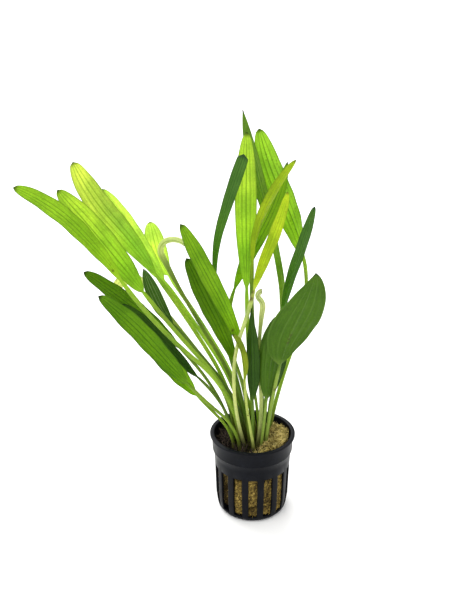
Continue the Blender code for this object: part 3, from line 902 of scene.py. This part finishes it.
def surface_samples(piece, count, seed, keep=None):
    """Random points on a mesh with their normals, spread evenly by area."""
    random = np.random.default_rng(seed)
    mesh = piece.data
    mesh.calc_loop_triangles()
    points = read_points(piece)
    corners = np.array([t.vertices[:] for t in mesh.loop_triangles])
    a, b, c = points[corners[:, 0]], points[corners[:, 1]], points[corners[:, 2]]
    normal = np.cross(b - a, c - a)
    area = np.linalg.norm(normal, axis=1)
    weight = area if keep is None else area * keep((a + b + c) / 3)
    chosen = random.choice(len(weight), count, p=weight / weight.sum())
    u = random.uniform(0, 1, (count, 1))
    v = random.uniform(0, 1, (count, 1))
    flip = (u + v) > 1
    u = np.where(flip, 1 - u, u)
    v = np.where(flip, 1 - v, v)
    spots = a[chosen] + u * (b - a)[chosen] + v * (c - a)[chosen]
    return spots, normal[chosen] / (area[chosen][:, None] + 1e-15)


def keep_inside(piece, limit_mm):
    """Draws in whatever stands further from the pot's axis than the limit."""
    points = read_points(piece)
    radius = np.linalg.norm(points[:, :2], axis=1)
    points[:, :2] *= np.minimum(1.0, limit_mm * MM / np.maximum(radius, 1e-9))[:, None]
    write_points(piece, points)


def tangent_ways(normals, lift, seed):
    """Random directions that lie along the surface, lifted a little off it."""
    random = np.random.default_rng(seed)
    ways = random.normal(0, 1, normals.shape)
    ways -= normals * np.sum(ways * normals, 1, keepdims=True)
    ways /= np.linalg.norm(ways, axis=1, keepdims=True) + 1e-12
    ways += normals * lift * random.uniform(0.2, 1.0, (len(normals), 1))
    return ways / np.linalg.norm(ways, axis=1, keepdims=True)


def strands_on(piece, name, count, kind, lift, seed, keep=None):
    """Strands that lie on a piece and stand off it a little."""
    spots, normals = surface_samples(piece, count, seed, keep)
    return thin_strands(name, spots, tangent_ways(normals, lift, seed + 1), normals, kind, seed + 2)


def roughen(piece, size_mm, strength_mm):
    """Pushes a surface in and out by a fixed noise of a real size."""
    texture = bpy.data.textures.new(f"{piece.name}_clouds", "CLOUDS")
    texture.noise_scale = size_mm * MM
    apply_modifier(
        piece, "DISPLACE", texture=texture, texture_coords="LOCAL", strength=strength_mm * MM, mid_level=0.5
    )


def join_into(piece, others):
    deselect_all()
    for other in others:
        other.select_set(True)
    piece.select_set(True)
    bpy.context.view_layer.objects.active = piece
    bpy.ops.object.join()


def finish_mass(piece, strands, material, slot, node):
    """Joins loose strands to a mass, shades it smoothly, ties it to the body and hides its solid."""
    join_into(piece, strands)
    select_only(piece)
    bpy.ops.object.shade_smooth()
    wear(piece, material)
    hand_in(piece, slot, node)


def lump(centre, size, turn):
    """One ball of a lumpy mass, placed and stretched in millimetres."""
    deselect_all()
    bpy.ops.mesh.primitive_ico_sphere_add(
        subdivisions=3,
        radius=1.0,
        location=tuple(v * MM for v in centre),
        scale=tuple(v * MM for v in size),
        rotation=(0, 0, math.radians(turn)),
    )
    piece = own_piece("lump")
    apply_place(piece)
    return piece


def lumpy_mass(name, lumps, voxel_mm):
    """Joins balls into one skin."""
    parts = [lump(*item) for item in lumps]
    join_into(parts[0], parts[1:])
    mass = own_piece(name)
    apply_modifier(mass, "REMESH", mode="VOXEL", voxel_size=voxel_mm * MM)
    return mass


WOOL_TOP = 46
WOOL_TOP_AT_ROOTS = 38
WOOL_SHOULDER = 34
ROOT_MAT_MIDDLE = math.radians(193)
WOOL_REACH = 22.7
TORN_WOOL_REACH = 23.0
ROOT_REACH = 24.0
CROWN_THREADS = 160
# Lumps of the torn wool: angle, distance from the pot's axis, height and size
TORN_WOOL = (
    (-98, 20.8, 46.4, 2.3), (-86, 20.4, 46.9, 2.9), (-74, 19.8, 47.6, 3.6), (-61, 19.2, 48.6, 4.3),
    (-47, 18.7, 49.8, 4.9), (-31, 18.4, 50.9, 5.3), (-14, 18.2, 51.8, 5.4), (4, 17.4, 51.8, 4.8),
    (22, 16.8, 50.4, 4.0), (40, 16.6, 48.8, 3.4), (56, 16.6, 47.4, 2.8), (-58, 14.6, 47.8, 3.0),
    (-40, 13.9, 49.0, 3.7), (-20, 13.6, 50.4, 4.2), (0, 13.4, 51.4, 4.2),
)
CROWN_PROFILE = (
    (1.0, 35.0), (9.5, 35.2), (12.6, 37.0), (13.8, 40.0),
    (13.6, 43.5), (12.0, 45.2), (8.0, 46.0), (0.6, 46.4),
)


def around_axis(angle, radius, height):
    turn = math.radians(angle)
    return (radius * math.cos(turn), radius * math.sin(turn), height)


def wool_profile():
    """The plug's radius up its height, from the pot's floor to the pocket for the crown."""
    rows = [(17.5, 1.8), (20.2, 2.6), (21.0, 3.6), (21.4, 4.4)]
    rows += [(22.0 + 0.034 * rise, 5.0 + rise) for rise in np.arange(48) * 0.6]
    rows += [(22.4, 35.0), (22.2, 38.0), (22.2, 42.0), (21.8, 45.0), (20.5, 46.0)]
    rows += [(18.0, 46.2), (15.5, 45.8), (14.6, 44.5), (14.0, 40.0), (8.0, 36.0), (1.0, 35.0)]
    return rows


def darken_hollows(piece, depth_mm):
    """Paints shade on the points that lie lower than the surface round them does on average."""
    points = read_points(piece)
    ends = np.zeros(len(piece.data.edges) * 2, np.int32)
    piece.data.edges.foreach_get("vertices", ends)
    first, second = ends.reshape(-1, 2).T
    shares = np.bincount(ends, minlength=len(points))[:, None]
    level = points.copy()
    for _ in range(5):
        around = np.zeros_like(level)
        np.add.at(around, first, level[second])
        np.add.at(around, second, level[first])
        level = around / np.maximum(shares, 1)
    normals = np.zeros(len(points) * 3, np.float32)
    piece.data.vertex_normals.foreach_get("vector", normals)
    depth = np.sum((level - points) * normals.reshape(-1, 3), 1) / (depth_mm * MM)
    shade_and_dark_wool = np.zeros(len(points), np.float32)
    layer = piece.data.attributes.get("shade_and_dark_wool")
    if layer:
        layer.data.foreach_get("value", shade_and_dark_wool)
        piece.data.attributes.remove(layer)
    write_attribute(piece, "shade_and_dark_wool", np.maximum(shade_and_dark_wool, np.clip(depth, 0, 0.9)))


def between_heights(height, low, high, soft):
    """1 between two heights and 0 away from them, with soft ends."""
    return smooth_step((height - low) / soft + 0.5) * smooth_step((high - height) / soft + 0.5)


def hollow_wool(plug):
    """Tears the wool back behind the slots: along their ends, and where roots have pushed it apart."""
    points = read_points(plug)
    radius = np.linalg.norm(points[:, :2], axis=1) / MM
    turn = np.degrees(np.arctan2(points[:, 1], points[:, 0]))
    height = points[:, 2] / MM
    upper = 31.2 + 0.9 * np.sin(np.radians(turn * 7)) - 1.6 * np.exp(-(((turn + 112) / 7) ** 2))
    lower = 4.8 + 0.7 * np.sin(np.radians(turn * 9))
    left = np.exp(-(((turn + 138) / 9) ** 4))
    gone = (np.abs((turn - 195 + 180) % 360 - 180) < 44).astype(float)
    crack = np.exp(-(((turn + 90) / 9) ** 4))
    tear_line = 10.6 + 0.12 * (turn + 90)
    hollows = (
        3.4 * smooth_step((height - upper) / 1.2) * smooth_step((36.5 - height) / 2),
        3.0 * smooth_step((lower - height) / 1.2),
        3.6 * left * between_heights(height, 17.5, 23.5, 1.5),
        3.6 * left * between_heights(height, 2.0, 13.5, 1.5),
        1.33 * gone * between_heights(height, 4.0, 31.0, 2.0),
        1.8 * crack * between_heights(height, tear_line - 0.7, tear_line + 0.7, 0.8),
    )
    inward = np.where((radius > 19) & (height < 37), np.max(hollows, axis=0), 0)
    points[:, :2] *= (1 - inward / np.maximum(radius, 1))[:, None]
    write_points(plug, points)
    # Painted shade in the torn-back hollows behind the slots; darker wool where it is gone on the left and
    # below the tear line
    shade_and_darkening = (0.92 * np.clip(inward / 3.4, 0, 1), 0.62 * crack * (height < tear_line), 0.9 * gone)
    write_attribute(plug, "shade_and_dark_wool", np.where(height < 37, np.max(shade_and_darkening, axis=0), 0))


class PLANT_OT_rock_wool(bpy.types.Operator):
    """Makes the wool plug behind the slots and the torn wool that stands up at the rim"""

    bl_idname = "plant.rock_wool"
    bl_label = "Rock wool"

    def execute(self, context):
        sizes = context.scene.plant_sizes
        colours = context.scene.plant_colours
        plug = turn_profile("rock_wool_matted", 240, wool_profile())
        close_ends(plug, 3)
        hollow_wool(plug)
        roughen(plug, 5.0, 0.9)
        roughen(plug, 1.7, 1.7)
        keep_inside(plug, WOOL_REACH)
        darken_hollows(plug, 0.25)
        points = read_points(plug)
        turn = np.arctan2(points[:, 1], points[:, 0])
        away = np.abs((turn - ROOT_MAT_MIDDLE + math.pi) % (2 * math.pi) - math.pi)
        low = 1 - smooth_step((away - 1.35) / 0.25)
        over = np.clip(points[:, 2] - WOOL_SHOULDER * MM, 0, None)
        points[:, 2] -= over * low * (WOOL_TOP - WOOL_TOP_AT_ROOTS) / (WOOL_TOP - WOOL_SHOULDER)
        write_points(plug, points)

        def in_sight(middle):
            return np.linalg.norm(middle[:, :2], axis=1) > 20.4 * MM

        fluff = strands_on(plug, "wool_fluff", sizes.fibre_count, WOOL_FIBRE, 0.2, 3, in_sight)
        keep_inside(fluff, WOOL_REACH + 0.2)
        wool = matted_fibre("spun_rock_wool", "2a1f0b", colours.wool, "a8904c", 1.1)
        finish_mass(plug, [fluff], wool, "rock_wool", "rock_wool")

        lumps = []
        for angle, radius, height, size in TORN_WOOL:
            lumps.append((around_axis(angle, radius, height), (size * 0.95, size * 1.15, size * 0.8), angle))
        chunk = lumpy_mass("rock_wool_torn", lumps, 0.5)
        roughen(chunk, 4.5, 4.2)
        roughen(chunk, 2.4, 3.4)
        roughen(chunk, 1.1, 1.3)
        keep_inside(chunk, TORN_WOOL_REACH)
        darken_hollows(chunk, 0.3)
        fluff = strands_on(chunk, "torn_fluff", sizes.fibre_count, TORN_FIBRE, 0.4, 13)
        keep_inside(fluff, TORN_WOOL_REACH + 0.4)
        torn = matted_fibre("torn_rock_wool", "3a2e10", "a4924a", "dccb84", 1.2)
        finish_mass(chunk, [fluff], torn, "rock_wool_torn", "rock_wool_chunk")
        return {"FINISHED"}


class PLANT_OT_roots(bpy.types.Operator):
    """Makes the dark root mat on the left, the crown and the roots that find their way out"""

    bl_idname = "plant.roots"
    bl_label = "Roots and crown"

    def execute(self, context):
        sizes = context.scene.plant_sizes
        lumps = []
        for angle in range(128, 262, 12):
            centre = around_axis(angle, 19.0, 42.5 + 1.2 * math.sin(angle))
            lumps.append((centre, (3.8, 4.6, 3.4), angle))
        mat = lumpy_mass("root_mat_matted", lumps, 0.7)
        roughen(mat, 3.0, 1.8)
        roots = strands_on(mat, "root_strands", sizes.root_count, ROOT, 0.35, 23)
        keep_inside(roots, ROOT_REACH)
        stray = np.radians(np.array([-142.0, -146.0, -150.0, -153.0, -157.0, -148.0]))
        starts = np.stack([22.6 * np.cos(stray), 22.6 * np.sin(stray), np.linspace(13.0, 17.5, 6)], 1) * MM
        outward = np.stack([np.cos(stray), np.sin(stray), np.full(6, -0.1)], 1)
        upright = np.tile((0.0, 0.0, 1.0), (6, 1))
        strays = thin_strands("stray_roots", starts, outward, upright, STRAY_ROOT, 27)
        wet_root = matted_fibre("wet_root_fibre", "060505", "16120f", "54483e", 1.2)
        finish_mass(mat, [roots, strays], wet_root, "root_fibre", "root_mat")

        crown = turn_profile("crown_rootstock", 72, CROWN_PROFILE)
        close_ends(crown, 40, 1)
        roughen(crown, 3.0, 1.6)

        def on_top(middle):
            return middle[:, 2] > 43 * MM

        threads = strands_on(crown, "crown_threads", CROWN_THREADS, CROWN_THREAD, 0.6, 33, on_top)
        tissue = matted_fibre("crown_tissue", "15120a", "2c2714", "5b5a2c", 2.0)
        finish_mass(crown, [threads], tissue, "crown", "crown")
        return {"FINISHED"}


class PLANT_OT_leaves(bpy.types.Operator):
    """Grows every leaf and bare stalk from one blank"""

    bl_idname = "plant.leaves"
    bl_label = "Leaves"

    def execute(self, context):
        blank = make_blank()
        slots = slot_of_node()
        skins = {name: living_leaf(f"leaf_tissue_{name}", look) for name, look in LOOKS.items()}
        for number, leaf in enumerate(LEAVES):
            piece = lay_leaf(blank, leaf, 1.7 * number)
            wear(piece, skins[leaf.look])
            hand_in(piece, slots[leaf.node], leaf.node)
        bpy.data.objects.remove(blank, do_unlink=True)
        return {"FINISHED"}


CAMERA_PLACE = (-11.31, -394.08, 294.98)
CAMERA_TILT = 20.68
FOCAL_PIXELS = 700
PICTURE_HEIGHT = 596
SENSOR_MM = 36.0
SWEEP_SIZE = 60.0
SUN_SPREAD = 50


def soft_sun(name, place, power):
    """Very soft daylight that comes from the way of a place."""
    data = bpy.data.lights.new(name, "SUN")
    data.energy = power
    data.angle = math.radians(SUN_SPREAD)
    lamp = bpy.data.objects.new(name, data)
    bpy.context.scene.collection.objects.link(lamp)
    lamp.location = place
    lamp.rotation_euler = (-Vector(place)).to_track_quat("-Z", "Y").to_euler()


class PLANT_OT_stage(bpy.types.Operator):
    """Lays the paper sweep, lights it softly and sets up the camera"""

    bl_idname = "plant.stage"
    bl_label = "Stage"

    def execute(self, context):
        scene = context.scene
        colours = scene.plant_colours
        deselect_all()
        bpy.ops.mesh.primitive_plane_add(size=SWEEP_SIZE)
        sweep = own_piece("paper_sweep")
        wear(sweep, painted_paper("studio_paper", colours.paper))

        world = bpy.data.worlds.new("soft_studio")
        world.use_nodes = True
        sky = world.node_tree.nodes["Background"]
        sky.inputs["Color"].default_value = (1.0, 1.0, 1.0, 1.0)
        sky.inputs["Strength"].default_value = colours.light
        scene.world = world
        scene.view_settings.view_transform = "Standard"
        soft_sun("window_behind", (-0.5, 1.0, 1.4), 2.4)
        soft_sun("window_left", (-1.0, -0.7, 1.2), 0.8)

        data = bpy.data.cameras.new("view")
        data.sensor_width = SENSOR_MM
        data.lens = SENSOR_MM * FOCAL_PIXELS / PICTURE_HEIGHT
        data.clip_start = 0.01
        camera = bpy.data.objects.new("view", data)
        scene.collection.objects.link(camera)
        camera.location = tuple(v * MM for v in CAMERA_PLACE)
        camera.rotation_euler = (math.radians(90 - CAMERA_TILT), 0, 0)
        scene.camera = camera
        return {"FINISHED"}


class PLANT_PT_panel(bpy.types.Panel):
    """Lists the plant's operators in the sidebar"""

    bl_idname = "PLANT_PT_panel"
    bl_label = "Sword plant"
    bl_space_type = "VIEW_3D"
    bl_region_type = "UI"
    bl_category = "Sword plant"

    def draw(self, context):
        for group in (context.scene.plant_sizes, context.scene.plant_colours):
            for name in group.__annotations__:
                self.layout.prop(group, name)
        for operator in OPERATORS:
            self.layout.operator(operator.bl_idname)


OPERATORS = (PLANT_OT_stage, PLANT_OT_net_pot, PLANT_OT_rock_wool, PLANT_OT_roots, PLANT_OT_leaves)
CLASSES = (PlantSizes, PlantColours, *OPERATORS, PLANT_PT_panel)


def register():
    for item in CLASSES:
        bpy.utils.register_class(item)
    bpy.types.Scene.plant_sizes = bpy.props.PointerProperty(type=PlantSizes)
    bpy.types.Scene.plant_colours = bpy.props.PointerProperty(type=PlantColours)


def unregister():
    del bpy.types.Scene.plant_colours
    del bpy.types.Scene.plant_sizes
    for item in reversed(CLASSES):
        bpy.utils.unregister_class(item)


def main():
    register()
    bpy.ops.plant.stage()
    bpy.ops.plant.net_pot()
    bpy.ops.plant.rock_wool()
    bpy.ops.plant.roots()
    bpy.ops.plant.leaves()
    deselect_all()


if __name__ == "__main__":
    main()
